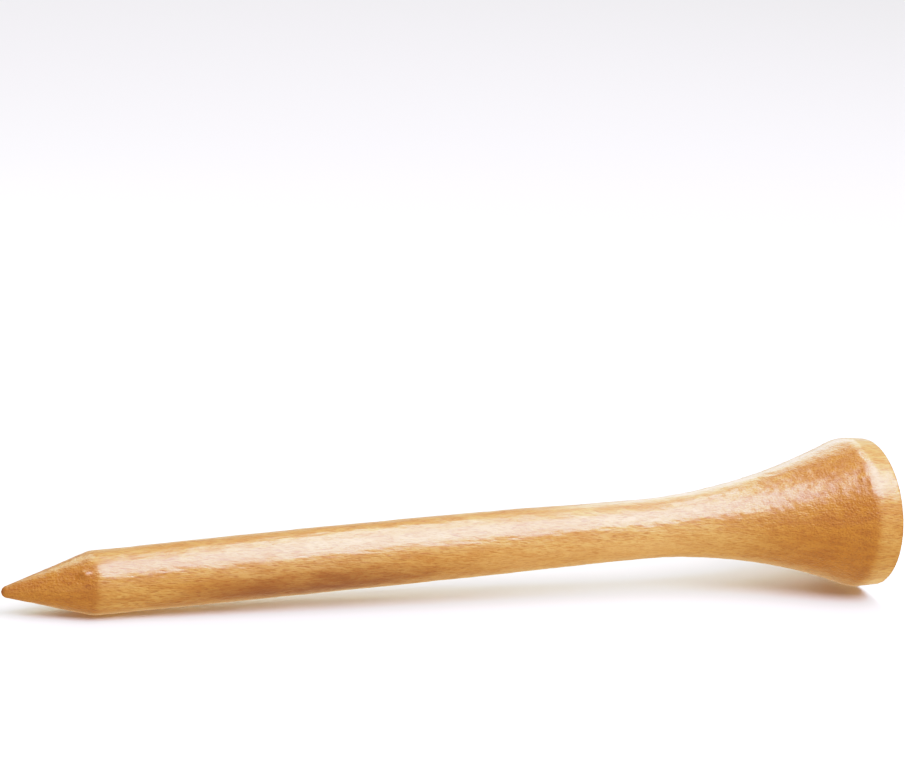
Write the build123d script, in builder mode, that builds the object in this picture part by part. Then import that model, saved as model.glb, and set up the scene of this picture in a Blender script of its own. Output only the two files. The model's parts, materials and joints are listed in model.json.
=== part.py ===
from build123d import *
import math
import os

# A wooden golf tee: one stick of birch, turned on a lathe and dipped in clear lacquer.
# Frame: millimetres, +Z up the tee from its point to its cup, origin at the point of the
# tee, which stands here as it stands in the turf.

# ---- driving dimensions -------------------------------------------------------------------
length = 69.85             # point to rim, the common 2 3/4 inch tee

nose_radius = 0.45         # blunt end of the point
point_length = 6.6         # the turned cone at the foot
shoulder_radius = 0.6      # softened corner where the cone meets the shank
shank_radius = 2.4         # the straight stem that is pushed into the turf

flare_radius = 46.0        # hollow sweep from the shank out to the head
head_radius = 5.9          # widest circle, at the foot of the band
band_height = 2.0          # nearly straight edge of the head, just below the rim
band_draft = 0.12          # how much smaller the rim is than the widest circle
band_corner = 0.4          # softened corner where the flare meets the band

rim_land = 0.35            # flat ring around the mouth of the cup
rim_outer_corner = 0.15    # softened outer edge of that ring
rim_inner_corner = 0.12    # softened lip where the ring drops into the cup
cup_depth = 1.15           # rim down to the middle of the cup
cup_floor_radius = 4.0     # rounded middle of the shallow cone

# ---- heights and radii that follow ---------------------------------------------------------
rim_radius = head_radius - band_draft
mouth_radius = rim_radius - rim_land
cup_floor = length - cup_depth
band_foot = length - band_height

# The flare leaves the shank straight up and bends outward until it reaches the head.
flare_angle = math.degrees(math.acos(1 - (head_radius - shank_radius) / flare_radius))
flare_foot = band_foot - flare_radius * math.sin(math.radians(flare_angle))


def round_angle(radius, reach, rise):
    """Degrees a round bottom turns, from its lowest point, before its straight side leaves it.

    The side ends `reach` out from the axis and `rise` above the bottom. It is tangent to the
    round where reach * sin(a) + (radius - rise) * cos(a) = radius.
    """
    span = math.hypot(reach, radius - rise)
    return math.degrees(math.atan2(reach, radius - rise) - math.acos(radius / span))


nose_angle = round_angle(nose_radius, shank_radius, point_length)
cup_angle = round_angle(cup_floor_radius, mouth_radius, cup_depth)

# ---- the turned tee ------------------------------------------------------------------------
with BuildPart() as turned_tee:
    with BuildSketch(Plane.XZ) as half_section:
        with BuildLine():
            nose = CenterArc((0, nose_radius), nose_radius, -90, nose_angle)
            cone = Line(nose @ 1, (shank_radius, point_length))
            shank = Line(cone @ 1, (shank_radius, flare_foot))
            flare = JernArc(shank @ 1, (0, 1), flare_radius, -flare_angle)
            band = Line(flare @ 1, (rim_radius, length))
            land = Line(band @ 1, (mouth_radius, length))
            cup = CenterArc((0, cup_floor + cup_floor_radius), cup_floor_radius, -90, cup_angle)
            Line(land @ 1, cup @ 1)
            Line(cup @ 0, nose @ 0)
        make_face()
        for corner, radius in (
            (cone @ 1, shoulder_radius),
            (flare @ 1, band_corner),
            (band @ 1, rim_outer_corner),
            (land @ 1, rim_inner_corner),
        ):
            fillet(half_section.vertices().sort_by_distance(corner)[0], radius)
    revolve(axis=Axis.Z)

turned_tee.part.label = "turned_tee"

# ---- write the part ------------------------------------------------------------------------
os.makedirs("parts", exist_ok=True)
export_step(turned_tee.part, "parts/turned_tee.step")
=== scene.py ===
import json
import math

import bpy
import numpy as np
from mathutils import Matrix, Vector


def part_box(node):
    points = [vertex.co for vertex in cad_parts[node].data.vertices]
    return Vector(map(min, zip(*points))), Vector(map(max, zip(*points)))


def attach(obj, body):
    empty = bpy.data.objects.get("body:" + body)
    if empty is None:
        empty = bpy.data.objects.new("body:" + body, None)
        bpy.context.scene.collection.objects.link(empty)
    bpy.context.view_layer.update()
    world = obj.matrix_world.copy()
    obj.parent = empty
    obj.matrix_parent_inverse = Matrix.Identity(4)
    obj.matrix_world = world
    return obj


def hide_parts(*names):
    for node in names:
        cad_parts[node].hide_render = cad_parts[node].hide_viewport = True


# A wooden golf tee, turned from birch and dipped in clear lacquer, lying on a pale table.
# Metres, +Z up the tee from its point to its cup. The tee stands upright in this frame and lies
# down in the view, so the table is a plane beside it and the camera is turned on its side.

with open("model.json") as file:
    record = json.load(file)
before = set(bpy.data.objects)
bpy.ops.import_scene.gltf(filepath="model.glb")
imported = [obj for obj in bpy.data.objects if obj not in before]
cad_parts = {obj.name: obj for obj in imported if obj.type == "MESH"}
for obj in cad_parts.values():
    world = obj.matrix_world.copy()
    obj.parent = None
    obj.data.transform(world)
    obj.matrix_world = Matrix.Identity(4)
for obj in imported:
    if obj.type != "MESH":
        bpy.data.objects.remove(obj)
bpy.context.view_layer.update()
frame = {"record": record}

mm = 0.001
shank_mount = next(m for m in frame["record"]["mounts"] if m["name"] == "shank")
tee_low, tee_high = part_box("turned_tee")

# ---- sizes of the tee ----------------------------------------------------------------------------
length = tee_high.z - tee_low.z
head_radius = 5.9 * mm
shank_radius = shank_mount["dims"]["r_mm"] * mm
nose_radius = 0.45 * mm
point_length = 6.6 * mm
flare_radius = 46.0 * mm
band_height = 2.0 * mm
band_draft = 0.12 * mm
rim_land = 0.35 * mm
cup_depth = 1.15 * mm
cup_floor_radius = 4.0 * mm

rim_radius = head_radius - band_draft
mouth_radius = rim_radius - rim_land
band_foot = length - band_height
cup_floor = length - cup_depth

# How far each softened corner reaches along the surface on either side.
shoulder_ease = 0.45 * mm
band_ease = 0.60 * mm
rim_ease = 0.16 * mm

# How finely the surface is cut: points round the tee, and rings for each radian of a bend.
sectors = 232
rings_per_radian = 7.0

# ---- how the turner and the lacquer leave it -----------------------------------------------------
# Slack in the girth: how much thicker or thinner, at what height, and how far that reaches.
girth_slack = (
    (-0.11 * mm, 49.5 * mm, 7.0 * mm),
    (0.035 * mm, 31.0 * mm, 9.0 * mm),
    (-0.055 * mm, 8.0 * mm, 6.0 * mm),
)
stick_bow = 0.16 * mm
head_shift = 0.20 * mm
head_shift_reach = 4.0 * mm         # how far below the band the head's shift starts
grain_tilt = math.radians(6)        # the fibres run a little across the stick

# Waves in the surface: height, width round the stick, length along it, and the noise's seed.
girth_waver = (0.010 * mm, 3.2 * mm, 5.0 * mm, 11)
fine_grain = (0.013 * mm, 0.17 * mm, 0.75 * mm, 12)
coarse_grain = (0.005 * mm, 0.36 * mm, 1.1 * mm, 13)
lacquer_ripple = (0.006 * mm, 0.40 * mm, 0.40 * mm, 14)
lacquer_swell = (0.013 * mm, 0.8 * mm, 1.5 * mm, 15)
flare_ripple = (0.016 * mm, 0.29 * mm, 0.29 * mm, 16)
cup_grain = (0.007 * mm, 0.30 * mm, 0.30 * mm, 17)
cup_swell = (0.015 * mm, 2.0 * mm, 2.0 * mm, 18)
# The noise that frays the edges of the painted shade and of the paler patch on the neck.
patch_edge = (0.35, 0.9 * mm, 3.0 * mm, 19)
flare_swell = (0.009 * mm, 0.50 * mm, 0.50 * mm, 20)

# The share of a surface's normal that points along the tee tells its parts apart: from
# flare_cut on the flare's ripples are full, and past faces_up it is the rim's top or the cup.
flare_cut = 0.20
faces_up = 0.5
grain_lost_on_flare = 0.5
nose_fade = 1.2 * mm                # how far from the axis the waves reach their full height

tool_ring_height = 0.0018 * mm
tool_ring_gap = 0.46 * mm
cup_ring_height = 0.006 * mm
cup_ring_gap = 0.55 * mm
nib_height = 0.13 * mm
nib_width = 0.30 * mm

# A bead of lacquer that ran down to just below the shoulder and dried there.
bead_height = 5.65 * mm
bead_angle = math.radians(-18)
bead_size = np.array([0.26, 0.26, 0.33]) * mm
bead_swell = 0.19 * mm

# Painted shade darkens one side of the stick, a brown patch that stands for shade on its lower
# side, and paler wood with painted bounce light runs along the neck on the same side: angle round
# the stick and its spread, then height and its spread.
painted_shade_patch = (math.radians(52), math.radians(38), 23 * mm, 9 * mm)
sapwood_and_bounce_patch = (math.radians(44), math.radians(34), 46 * mm, 12 * mm)

# ---- how it lies and where the camera stands -----------------------------------------------------
tee_middle = 35 * mm
table_azimuth = math.radians(-68)   # the side of the tee that faces away from the table
table_gap = 0.02 * mm
table_half_width = 1.5
camera_distance = 249.0 * mm
camera_lift = math.radians(-21.5)   # the camera looks up the tee from its point's end
camera_focus = 132.1                # lens, in millimetres, on a sensor 36 mm wide
tee_climb = math.radians(4.44)      # the tee's slope across the view
look_aside = Vector((0.5, -11.7, 0.6)) * mm

# The film's tone curve: a brightness of the scene and the tone it is shown in, up to white.
full_white = 1.38
tones = ((0.05, 0.032), (0.12, 0.092), (0.35, 0.34), (0.65, 0.65), (0.85, 0.80), (1.10, 0.90))


# ---- outline -------------------------------------------------------------------------------------
def straight(start, end, count):
    """Points evenly spaced on the line from start to end, without the last."""
    share = np.linspace(0, 1, count, endpoint=False)[:, None]
    return np.array(start) * (1 - share) + np.array(end) * share


def bend(centre, radius, first, last, count):
    """Points on a circle: centre + radius * (cos a, sin a), a running from first to last."""
    angle = np.linspace(first, last, count, endpoint=False)[:, None]
    return np.array(centre) + radius * np.hstack([np.cos(angle), np.sin(angle)])


def round_angle(radius, reach, rise):
    """The turn a in which reach * sin a + (radius - rise) * cos a = radius.

    There the straight side, which ends `reach` out and `rise` up, leaves a round bottom.
    """
    span = math.hypot(reach, radius - rise)
    return math.atan2(reach, radius - rise) - math.acos(radius / span)


def eased(path, corners):
    """The path with each sharp corner C swapped for (1-t)^2 A + 2t(1-t) C + t^2 B.

    A and B are the points of the path one ease before and one ease after the corner, and t
    runs from 0 to 1 between them along the path.
    """
    walked = np.r_[0, np.cumsum(np.hypot(*np.diff(path, axis=0).T))]
    for corner, ease in corners:
        at = walked[np.hypot(*(path - corner).T).argmin()]
        near = np.abs(walked - at) < ease
        before, after = (
            np.array([np.interp(at + side, walked, path[:, k]) for k in (0, 1)])
            for side in (-ease, ease)
        )
        t = ((walked[near] - at + ease) / (2 * ease))[:, None]
        path[near] = (1 - t) ** 2 * before + 2 * t * (1 - t) * np.array(corner) + t**2 * after
    return path


def tee_outline():
    """Half section of the tee as (radius, height), from the nose round to the middle of the cup.

    Nose arc, straight cone, straight shank, flare arc tangent to the shank, band, rim and cup,
    with its corners eased. Each stretch has its own gap between rings, and the rings are spread
    evenly over the sum of length / gap and of the angle turned, so they crowd into the bends.
    """
    nose = round_angle(nose_radius, shank_radius, point_length)
    cup = round_angle(cup_floor_radius, mouth_radius, cup_depth)
    flare = math.acos(1 - (head_radius - shank_radius) / flare_radius)
    flare_foot = band_foot - flare_radius * math.sin(flare)
    down = -math.pi / 2
    nose_end = (nose_radius * math.sin(nose), nose_radius * (1 - math.cos(nose)))
    shoulder = (shank_radius, point_length)
    shank_end = (shank_radius, flare_foot)
    flare_centre = (shank_radius + flare_radius, flare_foot)
    band_corner = (head_radius, band_foot)
    rim_outer = (rim_radius, length)
    rim_inner = (mouth_radius, length)
    cup_centre = (0, cup_floor + cup_floor_radius)
    cup_edge = (
        cup_floor_radius * math.sin(cup),
        cup_floor + cup_floor_radius * (1 - math.cos(cup)),
    )
    # Each stretch is the gap between its rings, in millimetres, and its points.
    stretches = (
        (0.12, bend((0, nose_radius), nose_radius, down, down + nose, 200)),
        (0.18, straight(nose_end, shoulder, 600)),
        (0.27, straight(shoulder, shank_end, 3000)),
        (0.15, bend(flare_centre, flare_radius, math.pi, math.pi - flare, 1500)),
        (0.16, straight(band_corner, rim_outer, 300)),
        (0.12, straight(rim_outer, rim_inner, 100)),
        (0.15, straight(rim_inner, cup_edge, 500)),
        (0.15, bend(cup_centre, cup_floor_radius, down + cup, down, 600)),
        (0.15, np.array([(0, cup_floor)])),
    )
    gap = np.concatenate([np.full(len(points), width * mm) for width, points in stretches])
    path = np.vstack([points for width, points in stretches])
    path = eased(path, (
        (shoulder, shoulder_ease),
        (band_corner, band_ease),
        (rim_outer, rim_ease),
        (rim_inner, rim_ease),
    ))
    step = np.diff(path, axis=0)
    heading = np.unwrap(np.arctan2(step[:, 1], step[:, 0]))
    turned = np.abs(np.gradient(heading))
    effort = np.r_[0, np.cumsum(np.hypot(*step.T) / gap[1:] + rings_per_radian * turned)]
    even = np.linspace(0, effort[-1], round(effort[-1]))
    return np.stack([np.interp(even, effort, path[:, k]) for k in (0, 1)], axis=1)


# ---- surface -------------------------------------------------------------------------------------
def smooth_noise(points, cell, seed):
    """Noise from -1 to 1: random numbers at the corners of boxes `cell` big.

    Inside a box the eight corners are blended by t * t * (3 - 2t) along each axis. The numbers
    come round again after 64 boxes.
    """
    boxes = 64
    table = np.random.default_rng(seed).uniform(-1, 1, (boxes, boxes, boxes))
    place = points / np.array(cell)
    low = np.floor(place).astype(int)
    t = place - low
    t = t * t * (3 - 2 * t)
    total = np.zeros(len(points))
    for corner in np.ndindex(2, 2, 2):
        share = np.prod(np.where(corner, t, 1 - t), axis=1)
        total += share * table[tuple(((low + corner) % boxes).T)]
    return total


def waves(points, *layers):
    """The sum of layers of smooth noise, each with its own height, width, length and seed."""
    return sum(
        height * smooth_noise(points, (width, width, along), seed)
        for height, width, along, seed in layers
    )


def bump_at(value, centre, width):
    """A rounded hump, exp(-((value - centre) / width)^2)."""
    return np.exp(-(((value - centre) / width) ** 2))


def carried_round(outline):
    """Points and normals of the outline carried round +Z: (r cos a, r sin a, z) for each sector.

    The outline's two ends lie on the axis and are left out. The normal is the outline's own
    normal, its tangent turned a quarter turn outwards, carried round in the same way.
    """
    tangent = np.gradient(outline, axis=0)
    tangent /= np.hypot(*tangent.T)[:, None]
    out, up = tangent[1:-1, 1, None], -tangent[1:-1, 0, None]
    radius, height = outline[1:-1, 0, None], outline[1:-1, 1, None]
    angle = np.arange(sectors) * 2 * math.pi / sectors
    cos, sin, level = np.cos(angle), np.sin(angle), np.zeros(sectors)
    points = np.stack([radius * cos, radius * sin, height + level], axis=-1)
    normals = np.stack([out * cos, out * sin, up + level], axis=-1)
    return points.reshape(-1, 3), normals.reshape(-1, 3)


def side_relief(points, normals):
    """How far the side of the tee stands out: the sum of its slack, waves and tool rings.

    The flare's ripples and tool rings grow with the share of the normal that points along +Z,
    which is 0 on the shank and reaches its full effect at `flare_cut`. All of it fades to
    nothing at the nose's tip, on the rim and in the cup.
    """
    tall = points[:, 2]
    girth = sum(amount * bump_at(tall, height, reach) for amount, height, reach in girth_slack)

    tilted = points.copy()
    tilted[:, 1] = points[:, 1] * math.cos(grain_tilt) - points[:, 2] * math.sin(grain_tilt)
    tilted[:, 2] = points[:, 1] * math.sin(grain_tilt) + points[:, 2] * math.cos(grain_tilt)
    # The lacquer's ripples are made on points turned askew, so that no rows show in them.
    askew = points @ np.array(Matrix.Rotation(math.radians(40), 3, Vector((1, 2, 3))))
    ripple = waves(askew, lacquer_ripple) + waves(tilted, lacquer_swell)

    steep = np.clip(np.abs(normals[:, 2]) / flare_cut, 0, 1)
    flared = steep * (tall > tee_middle)
    grain = waves(tilted, fine_grain, coarse_grain) * (1 - grain_lost_on_flare * flared)
    flare_waves = waves(askew, flare_ripple, flare_swell) * flared
    tool_rings = tool_ring_height * np.sin(2 * math.pi * tall / tool_ring_gap) * steep

    from_axis = np.hypot(points[:, 0], points[:, 1])
    fade = np.clip(from_axis / nose_fade, 0, 1) * (normals[:, 2] <= faces_up)
    return (girth + waves(points, girth_waver) + ripple + grain + flare_waves + tool_rings) * fade


def bead_relief(points, outline):
    """The bead of lacquer: bead_swell * exp(-d^2), d the distance from its middle in bead sizes."""
    outside = slice(0, outline[:, 1].argmax())
    radius = np.interp(bead_height, outline[outside, 1], outline[outside, 0])
    middle = (radius * math.cos(bead_angle), radius * math.sin(bead_angle), bead_height)
    away = np.linalg.norm((points - middle) / bead_size, axis=1)
    return bead_swell * np.exp(-away**2)


def cup_relief(points, from_axis):
    """In the cup: rings of the forming tool, grain, and the nib that it leaves in the middle."""
    rings = cup_ring_height * np.sin(2 * math.pi * from_axis / cup_ring_gap)
    nib = nib_height * bump_at(from_axis, 0, nib_width)
    return rings + waves(points, cup_grain) + waves(points, cup_swell) + nib


def patch(points, turn, spread, height, reach):
    """A soft patch on the side of the stick: a hump round it times a hump along it."""
    round_stick = np.arctan2(points[:, 1], points[:, 0])
    return bump_at(round_stick, turn, spread) * bump_at(points[:, 2], height, reach)


def turned_piece(name):
    """The tee as rings of the outline carried round +Z, closed by one point at each end.

    Each point is moved along its own normal by the relief of its part of the surface, and then
    sideways by the bow of the stick, sin(pi * z / length), and by the shift of the head, which
    grows as the square of the height above its start.
    """
    outline = tee_outline()
    points, normals = carried_round(outline)
    tall = points[:, 2]
    from_axis = np.hypot(points[:, 0], points[:, 1])
    in_cup = (from_axis < mouth_radius) & (normals[:, 2] > faces_up)

    relief = side_relief(points, normals) + bead_relief(points, outline)
    relief += in_cup * cup_relief(points, from_axis)
    cross_cut = np.abs(normals[:, 2])

    nose = np.array([[0, 0, 0]])
    cup_middle = np.array([[0, 0, outline[-1, 1] + nib_height]])
    points = np.vstack([nose, points + normals * relief[:, None], cup_middle])
    points[:, 1] -= stick_bow * np.sin(math.pi * np.clip(points[:, 2] / length, 0, 1))
    shift_start = band_foot - head_shift_reach
    risen = np.clip((points[:, 2] - shift_start) / (length - shift_start), 0, 1)
    points[:, 1] += head_shift * risen**2

    # Painted shade on one side of the stick, and beside it a paler patch along the neck that is
    # partly painted bounce light.
    edge = waves(points, patch_edge)
    painted_shade = np.clip(patch(points, *painted_shade_patch) * (1 + edge), 0, 1)
    sapwood_and_bounce = np.clip(patch(points, *sapwood_and_bounce_patch) * (1 + edge) * (1 - painted_shade), 0, 1)
    lip = bump_at(from_axis, mouth_radius + 0.5 * rim_land, 0.6 * rim_land)
    lip = lip * (tall > length - 0.5 * band_height)
    marks = {
        # 1 where the surface cuts square across the fibres, 0 along them
        "cross_grain": np.r_[1.0, cross_cut, 1.0],
        # 1 in the middle of the painted shade and of the paler neck with its painted bounce light,
        # 0 away from them
        "painted_shade": painted_shade,
        "sapwood_and_bounce": sapwood_and_bounce,
        # 1 on the flat ring round the cup
        "lip": np.r_[0.0, lip, 0.0],
        # 1 in the middle of the cup, 0 at its edge: darker towards the middle, where lacquer
        # pooled, and painted shade in the cup's hollow
        "pool_and_shade": np.r_[0.0, in_cup * (1 - from_axis / mouth_radius), 1.0],
    }
    return closed_mesh(name, points, len(outline) - 2, marks)


def closed_mesh(name, points, rings, marks):
    """A mesh of rings of points, squares between neighbours, and a fan of triangles at each end.

    Point 0 is the lower end, point 1 + ring * sectors + sector is on the grid, and the last
    point is the upper end.
    """
    ring = np.arange(rings - 1)[:, None] * sectors + 1
    here = np.arange(sectors)
    after = (here + 1) % sectors
    squares = np.stack(
        [ring + here, ring + after, ring + sectors + after, ring + sectors + here], axis=-1
    )
    last = len(points) - 1
    top = 1 + (rings - 1) * sectors
    lower_fan = np.stack([np.zeros_like(here), 1 + after, 1 + here], axis=-1)
    upper_fan = np.stack([np.full_like(here, last), top + here, top + after], axis=-1)
    corners = np.concatenate([lower_fan.ravel(), squares.ravel(), upper_fan.ravel()])
    sizes = np.r_[np.full(sectors, 3), np.full((rings - 1) * sectors, 4), np.full(sectors, 3)]
    starts = np.r_[0, np.cumsum(sizes)[:-1]]
    mesh = bpy.data.meshes.new(name)
    mesh.vertices.add(len(points))
    mesh.vertices.foreach_set("co", points.astype(np.float32).ravel())
    mesh.loops.add(len(corners))
    mesh.loops.foreach_set("vertex_index", corners.astype(np.int32))
    mesh.polygons.add(len(sizes))
    mesh.polygons.foreach_set("loop_start", starts.astype(np.int32))
    mesh.polygons.foreach_set("use_smooth", np.ones(len(sizes), dtype=bool))
    mesh.update(calc_edges=True)
    for label, values in marks.items():
        mark = mesh.attributes.new(label, "FLOAT", "POINT")
        mark.data.foreach_set("value", values.astype(np.float32))
    mesh.validate()
    return placed(name, mesh)


def placed(name, data):
    """An object of that name at the origin, in the scene."""
    made = bpy.data.objects.new(name, data)
    bpy.context.scene.collection.objects.link(made)
    return made


def mesh_points(piece):
    """The piece's points as rows of x, y, z."""
    flat = np.empty(3 * len(piece.data.vertices))
    piece.data.vertices.foreach_get("co", flat)
    return flat.reshape(-1, 3)


# ---- shader building -----------------------------------------------------------------------------
def join(tree, inputs, values):
    """Each input joined to a socket or set to a value."""
    for key, value in values.items():
        if isinstance(value, bpy.types.NodeSocket):
            tree.links.new(value, inputs[key])
        else:
            inputs[key].default_value = value


def node(tree, kind, inputs=None, **settings):
    """A shader node with its settings and its inputs."""
    made = tree.nodes.new(kind)
    for key, value in settings.items():
        setattr(made, key, value)
    join(tree, made.inputs, inputs or {})
    return made


def maths(tree, operation, *values):
    """The result of one Math node."""
    return node(tree, "ShaderNodeMath", dict(enumerate(values)), operation=operation).outputs[0]


def blend_colour(tree, share, first, second):
    """The colour `share` of the way from first to second."""
    factor, colour_a, colour_b, mixed = 0, 6, 7, 2      # the Mix node's sockets for colours
    inputs = {factor: share, colour_a: first, colour_b: second}
    return node(tree, "ShaderNodeMix", inputs, data_type="RGBA").outputs[mixed]


def stepped(tree, value, low, high):
    """0 below low, 1 above high, and a smooth rise between."""
    inputs = {"Value": value, "From Min": low, "From Max": high}
    ramp = node(tree, "ShaderNodeMapRange", inputs, interpolation_type="SMOOTHSTEP")
    return ramp.outputs[0]


def marked(tree, name):
    """The value of one of the tee's marks."""
    return node(tree, "ShaderNodeAttribute", attribute_name=name).outputs["Fac"]


def new_group(name, inputs, outputs):
    """An empty node group with named sockets, and the sockets of its input and output nodes."""
    tree = bpy.data.node_groups.new(name, "ShaderNodeTree")
    for label, kind, value in inputs:
        socket = tree.interface.new_socket(label, in_out="INPUT", socket_type=kind)
        if value is not None:
            socket.default_value = value
    for label, kind in outputs:
        tree.interface.new_socket(label, in_out="OUTPUT", socket_type=kind)
    return tree, tree.nodes.new("NodeGroupInput").outputs, tree.nodes.new("NodeGroupOutput").inputs


def placed_group(tree, group, inputs, output):
    """One placed copy of a group, and the socket it gives."""
    made = node(tree, "ShaderNodeGroup", node_tree=group)
    join(tree, made.inputs, inputs)
    return made.outputs[output]


VECTOR, FLOAT = "NodeSocketVector", "NodeSocketFloat"


def fibre_group():
    """Fibres: noise squeezed to Width across the stick and drawn out to Length along it."""
    tree, given, result = new_group(
        "fibres",
        [
            ("Place", VECTOR, None), ("Width", FLOAT, 0.2 * mm), ("Length", FLOAT, 2 * mm),
            ("Detail", FLOAT, 2.0), ("Low", FLOAT, 0.4), ("High", FLOAT, 0.6),
        ],
        [("Mask", FLOAT)],
    )
    sizes = {0: given["Width"], 1: given["Width"], 2: given["Length"]}
    scale = node(tree, "ShaderNodeCombineXYZ", sizes).outputs[0]
    squeeze = {0: given["Place"], 1: scale}
    squeezed = node(tree, "ShaderNodeVectorMath", squeeze, operation="DIVIDE").outputs[0]
    noise = node(tree, "ShaderNodeTexNoise", {
        "Vector": squeezed, "Scale": 1.0, "Detail": given["Detail"], "Roughness": 0.55,
    })
    mask = stepped(tree, noise.outputs[0], given["Low"], given["High"])
    tree.links.new(mask, result["Mask"])
    return tree


def skin_group():
    """Lacquer skin: even noise of the given Size, the same in every direction."""
    tree, given, result = new_group(
        "lacquer_skin",
        [("Place", VECTOR, None), ("Size", FLOAT, 0.4 * mm), ("Detail", FLOAT, 1.0)],
        [("Height", FLOAT)],
    )
    scale = maths(tree, "DIVIDE", 1.0, given["Size"])
    noise = node(tree, "ShaderNodeTexNoise", {
        "Vector": given["Place"], "Scale": scale, "Detail": given["Detail"], "Roughness": 0.5,
    })
    tree.links.new(noise.outputs[0], result["Height"])
    return tree


def colour(red, green, blue):
    """A linear colour from the 0 to 255 values that a screen shows."""
    channels = (c / 255 for c in (red, green, blue))
    linear = (c / 12.92 if c <= 0.04045 else ((c + 0.055) / 1.055) ** 2.4 for c in channels)
    return (*linear, 1.0)


def new_material(name):
    """A material with only its output and a Principled shader."""
    material = bpy.data.materials.new(name)
    material.use_nodes = True
    tree = material.node_tree
    return material, tree, tree.nodes["Principled BSDF"], tree.nodes["Material Output"]


# ---- wood, lacquer and table ---------------------------------------------------------------------
pale = colour(190, 154, 93)
honey = colour(178, 136, 70)
amber = colour(156, 100, 33)
deep = colour(122, 66, 12)
# Pale wood along the neck, which also paints bounce light on its lower side.
sap_and_bounce_pale = colour(208, 170, 120)
# The brown of the painted shade on the lower side of the stick.
painted_shade_amber = colour(116, 58, 2)
soaked_light = colour(166, 112, 28)
soaked_dark = colour(142, 86, 16)
cup_light = colour(173, 121, 65)
cup_dark = colour(158, 106, 53)
# The brown of the cup's middle: pooled lacquer and painted shade in the hollow.
pool_and_shade_brown = colour(138, 84, 34)

# The wood's markings: width and length of the fibres, detail, and where the noise starts and ends.
wood_tone = (2.4 * mm, 15 * mm, 2.0, 0.34, 0.66)
wood_mottle = (0.55 * mm, 1.9 * mm, 3.0, 0.36, 0.66)
wood_flecks = (0.13 * mm, 0.65 * mm, 1.0, 0.50, 0.68)
wood_pores = (0.08 * mm, 0.55 * mm, 0.0, 0.56, 0.70)
wood_fibres = (0.12 * mm, 0.45 * mm, 1.0, 0.2, 0.8)

# The share of fibres cut across at which wood starts to soak up lacquer and is soaked through,
# and at which it turns into end grain and is all end grain.
soaked_range = (0.05, 0.34)
end_grain_range = (0.55, 0.92)

# How strongly each marking colours the wood that is cut along its fibres.
mottle_strength = 0.40
fleck_strength = 0.42
pore_strength = 0.38
sapwood_and_bounce_strength = 0.62
figure_lost_in_sapwood_and_bounce = 0.55
shade_between_mottles = 0.84

# The same for soaked wood, which is cut across its fibres, and for the cup.
soaked_strength = 0.85
soaked_mottle_strength = 0.55
soaked_pore_strength = 0.30
pool_and_shade_strength = 0.45
lip_strength = 0.75

# Roughness and coat. End grain drinks most of its coat and stays nearly matt.
roughness = 0.40
rougher_in_markings = 0.06
rougher_in_end_grain = 0.34
coat_weight = 0.85
coat_lost_in_end_grain = 0.80

# The lacquer's relief: the size of its dimples, and its heights in millimetres.
speckle_size = 0.16 * mm
dimple_size = 0.17 * mm
dimple_depth = 0.016
soaked_dimple_depth = 0.045
fibre_height = 0.018
pore_depth = 0.0025


def marking(tree, fibres, place, kind):
    """One of the wood's markings, as a mask from 0 to 1."""
    inputs = dict(zip(("Width", "Length", "Detail", "Low", "High"), kind))
    return placed_group(tree, fibres, {"Place": place, **inputs}, "Mask")


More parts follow.
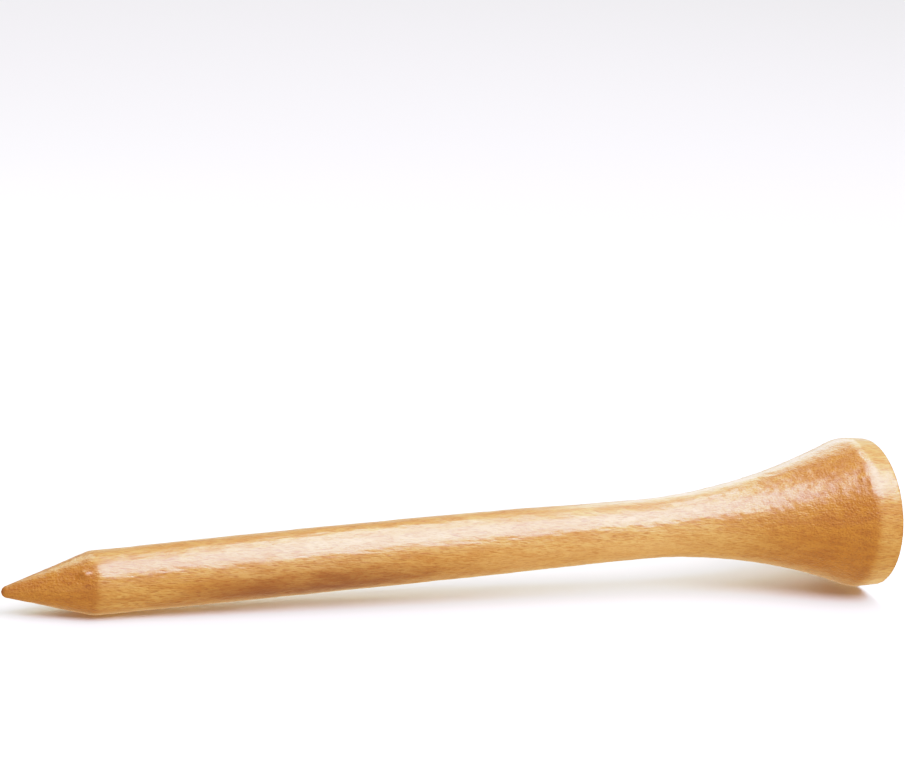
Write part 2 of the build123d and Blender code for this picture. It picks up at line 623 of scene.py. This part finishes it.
def lacquered_birch(fibres, skin):
    """Birch under clear lacquer: pale along the fibres, deeper amber where the cut crosses them."""
    material, tree, shader, _ = new_material("lacquered_birch")
    stick = node(tree, "ShaderNodeTexCoord").outputs["Object"]
    tilt = {"Vector": stick, "Rotation": (grain_tilt, 0, 0)}
    place = node(tree, "ShaderNodeMapping", tilt).outputs[0]
    tone, mottle, flecks, pores, fine = (
        marking(tree, fibres, place, kind)
        for kind in (wood_tone, wood_mottle, wood_flecks, wood_pores, wood_fibres)
    )
    painted_shade, sapwood_and_bounce, lip, pool_and_shade, cross = (
        marked(tree, name) for name in ("painted_shade", "sapwood_and_bounce", "lip", "pool_and_shade", "cross_grain")
    )
    soaked = stepped(tree, cross, *soaked_range)
    end_grain = stepped(tree, cross, *end_grain_range)

    # Wood cut along its fibres.
    along = blend_colour(tree, tone, pale, honey)
    # Paler along the neck on the lower side: partly paler wood, partly painted bounce light.
    along = blend_colour(tree, maths(tree, "MULTIPLY", sapwood_and_bounce, sapwood_and_bounce_strength), along, sap_and_bounce_pale)
    plain = maths(tree, "MULTIPLY_ADD", sapwood_and_bounce, -figure_lost_in_sapwood_and_bounce, 1.0)
    for mask, strength, darker in (
        (mottle, mottle_strength, amber),
        (flecks, fleck_strength, amber),
        (pores, pore_strength, deep),
    ):
        share = maths(tree, "MULTIPLY", maths(tree, "MULTIPLY", mask, strength), plain)
        along = blend_colour(tree, share, along, darker)
    # Painted shade: the lower side of the stick turned deep brown, a little less between the
    # mottles.
    with_mottle = 1 - shade_between_mottles
    shade_share = maths(tree, "MULTIPLY_ADD", mottle, with_mottle, shade_between_mottles)
    along = blend_colour(tree, maths(tree, "MULTIPLY", painted_shade, shade_share), along, painted_shade_amber)

    # Wood cut across its fibres, on the cone and the flare.
    share = maths(tree, "MULTIPLY", mottle, soaked_mottle_strength)
    across = blend_colour(tree, share, soaked_light, soaked_dark)
    across = blend_colour(tree, maths(tree, "MULTIPLY", pores, soaked_pore_strength), across, deep)
    wood = blend_colour(tree, maths(tree, "MULTIPLY", soaked, soaked_strength), along, across)

    # End grain, in the cup and on its lip.
    grit = {"Place": stick, "Size": speckle_size, "Detail": 3.0}
    speckle = placed_group(tree, skin, grit, "Height")
    cup_wood = blend_colour(tree, stepped(tree, speckle, 0.40, 0.66), cup_light, cup_dark)
    # Darker towards the cup's middle: pooled lacquer and painted shade in the hollow.
    cup_wood = blend_colour(tree, maths(tree, "MULTIPLY", pool_and_shade, pool_and_shade_strength), cup_wood, pool_and_shade_brown)
    cup_wood = blend_colour(tree, maths(tree, "MULTIPLY", lip, lip_strength), cup_wood, pale)
    wood = blend_colour(tree, end_grain, wood, cup_wood)
    tree.links.new(wood, shader.inputs["Base Color"])

    rough = maths(tree, "MULTIPLY_ADD", mottle, rougher_in_markings, roughness)
    rough = maths(tree, "MULTIPLY_ADD", flecks, rougher_in_markings, rough)
    rough = maths(tree, "MULTIPLY_ADD", end_grain, rougher_in_end_grain, rough)
    tree.links.new(rough, shader.inputs["Roughness"])
    coat = maths(tree, "MULTIPLY_ADD", end_grain, -coat_lost_in_end_grain, coat_weight)
    tree.links.new(coat, shader.inputs["Coat Weight"])
    shader.inputs["Coat Roughness"].default_value = 0.25
    shader.inputs["Coat IOR"].default_value = 1.5
    shader.inputs["IOR"].default_value = 1.5
    shader.inputs["Specular IOR Level"].default_value = 0.35

    pits = {"Place": stick, "Size": dimple_size, "Detail": 1.0}
    dimples = placed_group(tree, skin, pits, "Height")
    depth = maths(tree, "MULTIPLY_ADD", soaked, soaked_dimple_depth, dimple_depth)
    relief = maths(tree, "MULTIPLY", dimples, depth)
    relief = maths(tree, "MULTIPLY_ADD", fine, fibre_height, relief)
    relief = maths(tree, "MULTIPLY_ADD", pores, -pore_depth, relief)
    bump = node(tree, "ShaderNodeBump", {"Height": relief, "Strength": 1.0, "Distance": mm})
    tree.links.new(bump.outputs[0], shader.inputs["Normal"])
    return material


def pale_table():
    """Matt white laminate that the camera sees whole, and only from its upper side.

    To the tee it is mostly clear and takes the warm tint of light between wood and table. The
    room's light from below stands for the rest of what a table throws back, so that the side the
    tee lies on isn't black when it is looked at from behind.
    """
    material, tree, shader, output = new_material("pale_table")
    white = (0.93, 0.935, 0.87, 1)
    warm = (0.74, 0.54, 0.24, 1)
    to_tee = 0.35
    camera_ray = node(tree, "ShaderNodeLightPath").outputs["Is Camera Ray"]
    tree.links.new(blend_colour(tree, camera_ray, warm, white), shader.inputs["Base Color"])
    shader.inputs["Roughness"].default_value = 0.75
    clear = node(tree, "ShaderNodeBsdfTransparent").outputs[0]
    below = node(tree, "ShaderNodeNewGeometry").outputs["Backfacing"]
    seen = maths(tree, "MULTIPLY_ADD", camera_ray, 1 - to_tee, to_tee)
    seen = maths(tree, "MULTIPLY", seen, maths(tree, "SUBTRACT", 1.0, below))
    either = node(tree, "ShaderNodeMixShader", {0: seen, 1: clear, 2: shader.outputs[0]})
    tree.links.new(either.outputs[0], output.inputs["Surface"])
    return material


# ---- the studio ----------------------------------------------------------------------------------
def lay_table(points):
    """A plane that touches the tee at its shoulder and at its head, as a tee lies on a table.

    The plane's slope is that of the line from the farthest point of the shoulder to the farthest
    point of the head, both measured away from the table's facing side.
    """
    side = np.array([math.cos(table_azimuth), math.sin(table_azimuth), 0.0])
    reach = -points @ side
    low = np.where(points[:, 2] < 2 * point_length, reach, -1).argmax()
    high = np.where(points[:, 2] > length - 2 * band_height, reach, -1).argmax()
    lean = math.atan2(reach[high] - reach[low], points[high, 2] - points[low, 2])
    facing = side * math.cos(lean) + np.array([0.0, 0.0, math.sin(lean)])
    touch = facing * ((points @ facing).min() - table_gap)
    facing = Vector(facing)
    along = (Vector((0, 0, 1)) - facing * facing.z).normalized()
    across = along.cross(facing)
    half = table_half_width
    corners = [
        Vector(touch) + along * u + across * v
        for u, v in ((-half, -half), (half, -half), (half, half), (-half, half))
    ]
    mesh = bpy.data.meshes.new("table")
    mesh.from_pydata(corners, [], [(0, 1, 2, 3)])
    mesh.update()
    if mesh.polygons[0].normal.dot(facing) < 0:
        mesh.flip_normals()
    mesh.materials.append(pale_table())
    table = placed("table", mesh)
    return facing


def stand_at(thing, place, right, up, back):
    """Stands a lamp or a camera at a place, looking the way that `back` turns away from."""
    turn = Matrix((right, up, back)).transposed().to_4x4()
    thing.matrix_world = Matrix.Translation(place) @ turn


def softbox(name, turn, along, distance, width, height, glow, aim=tee_middle, tint=(1, 1, 1)):
    """An oval lamp of even glow, aimed at the height `aim` on the tee, its width along the tee.

    `turn` goes round the tee from the camera's side (0) over its upper side (90) to behind it,
    and `along` leans from square to the tee (0) towards its cup. `glow` is the brightness of its
    face, so its power is glow * pi * area, and an oval's area is pi / 4 * width * height.
    """
    turn, along = math.radians(turn), math.radians(along)
    away = Vector((
        math.cos(turn) * math.cos(along), -math.sin(turn) * math.cos(along), math.sin(along)
    ))
    lamp = bpy.data.lights.new(name, "AREA")
    lamp.shape = "ELLIPSE"
    lamp.size = width
    lamp.size_y = height
    lamp.energy = glow * math.pi * (math.pi / 4 * width * height)
    lamp.color = tint
    holder = placed(name, lamp)
    wide = (Vector((0, 0, 1)) - away * away.z).normalized()
    stand_at(holder, Vector((0, 0, aim)) + away * distance, wide, away.cross(wide), away)
    holder.visible_camera = False


def white_room(facing, shown, low, high, thrown_back):
    """White surroundings: `shown` bright behind the tee, and another brightness as light on it.

    As light they are `low` bright at the table's edge and `high` bright well above it, with a
    smooth change between. From below the table comes the light that it throws back, of the
    colour `thrown_back`. Rise is the cosine to the table's facing side.
    """
    well_above, well_below = 0.5, -0.10
    world = bpy.data.worlds.new("white_room")
    world.use_nodes = True
    tree = world.node_tree
    tree.nodes.clear()
    white = (1, 1, 1, 1)
    seen = node(tree, "ShaderNodeBackground", {"Color": white, "Strength": shown}).outputs[0]
    way = {0: node(tree, "ShaderNodeTexCoord").outputs["Generated"], 1: facing}
    rise = node(tree, "ShaderNodeVectorMath", way, operation="DOT_PRODUCT").outputs["Value"]
    lit = maths(tree, "MULTIPLY_ADD", stepped(tree, rise, 0.0, well_above), high - low, low)
    tint = blend_colour(tree, stepped(tree, rise, well_below, 0.0), thrown_back, white)
    light = node(tree, "ShaderNodeBackground", {"Color": tint, "Strength": lit}).outputs[0]
    camera_ray = node(tree, "ShaderNodeLightPath").outputs["Is Camera Ray"]
    either = node(tree, "ShaderNodeMixShader", {0: camera_ray, 1: light, 2: seen})
    output = node(tree, "ShaderNodeOutputWorld")
    tree.links.new(either.outputs[0], output.inputs["Surface"])
    bpy.context.scene.world = world


def place_camera():
    """Camera beside the tee, looking up it from below, turned so that the tee lies across."""
    middle = Vector((0, 0, tee_middle))
    place = middle + camera_distance * Vector((math.cos(camera_lift), 0, math.sin(camera_lift)))
    forward = (middle + look_aside - place).normalized()
    tee_across = (Vector((0, 0, 1)) - forward * forward.z).normalized()
    square = tee_across.cross(forward)
    right = tee_across * math.cos(tee_climb) - square * math.sin(tee_climb)
    data = bpy.data.cameras.new("camera")
    data.sensor_width = 36
    data.lens = camera_focus
    data.clip_start = 0.01
    data.clip_end = 20
    camera = placed("camera", data)
    stand_at(camera, place, right, right.cross(forward), -forward)
    bpy.context.scene.camera = camera


def soft_shoulder(points, white):
    """The film's tone curve: `white` becomes full white, and bright tones bend over to it."""
    view = bpy.context.scene.view_settings
    view.view_transform = "Standard"
    view.look = "None"
    view.use_curve_mapping = True
    film = view.curve_mapping
    film.white_level = (white, white, white)
    all_channels = film.curves[3]
    for bright, shown in points:
        all_channels.points.new(bright / white, shown)
    film.update()


# ---- putting it together -------------------------------------------------------------------------
tee = turned_piece("turned_tee_wood")
tee.data.materials.append(lacquered_birch(fibre_group(), skin_group()))
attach(tee, "root")
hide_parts("turned_tee")

facing = lay_table(mesh_points(tee))
place_camera()
white_room(facing, shown=1.7, low=0.95, high=0.32, thrown_back=(1.32, 1.07, 0.70, 1))
softbox(
    "key_softbox", turn=43, along=21, distance=0.44,
    width=0.38, height=0.47, glow=7.8, tint=(1.0, 0.94, 1.18),
)
softbox(
    "overhead_softbox", turn=86, along=18.8, distance=0.50,
    width=0.068, height=0.22, glow=13, tint=(1.0, 0.94, 1.08),
)
softbox(
    "rim_lamp", turn=127, along=0, distance=0.060,
    width=0.030, height=0.052, glow=2.6, aim=85 * mm,
)
softbox(
    "point_lamp", turn=103, along=0, distance=0.12,
    width=0.034, height=0.11, glow=4.2, tint=(0.92, 1.0, 0.86), aim=4 * mm,
)
soft_shoulder(tones, full_white)

bpy.context.view_layer.update()
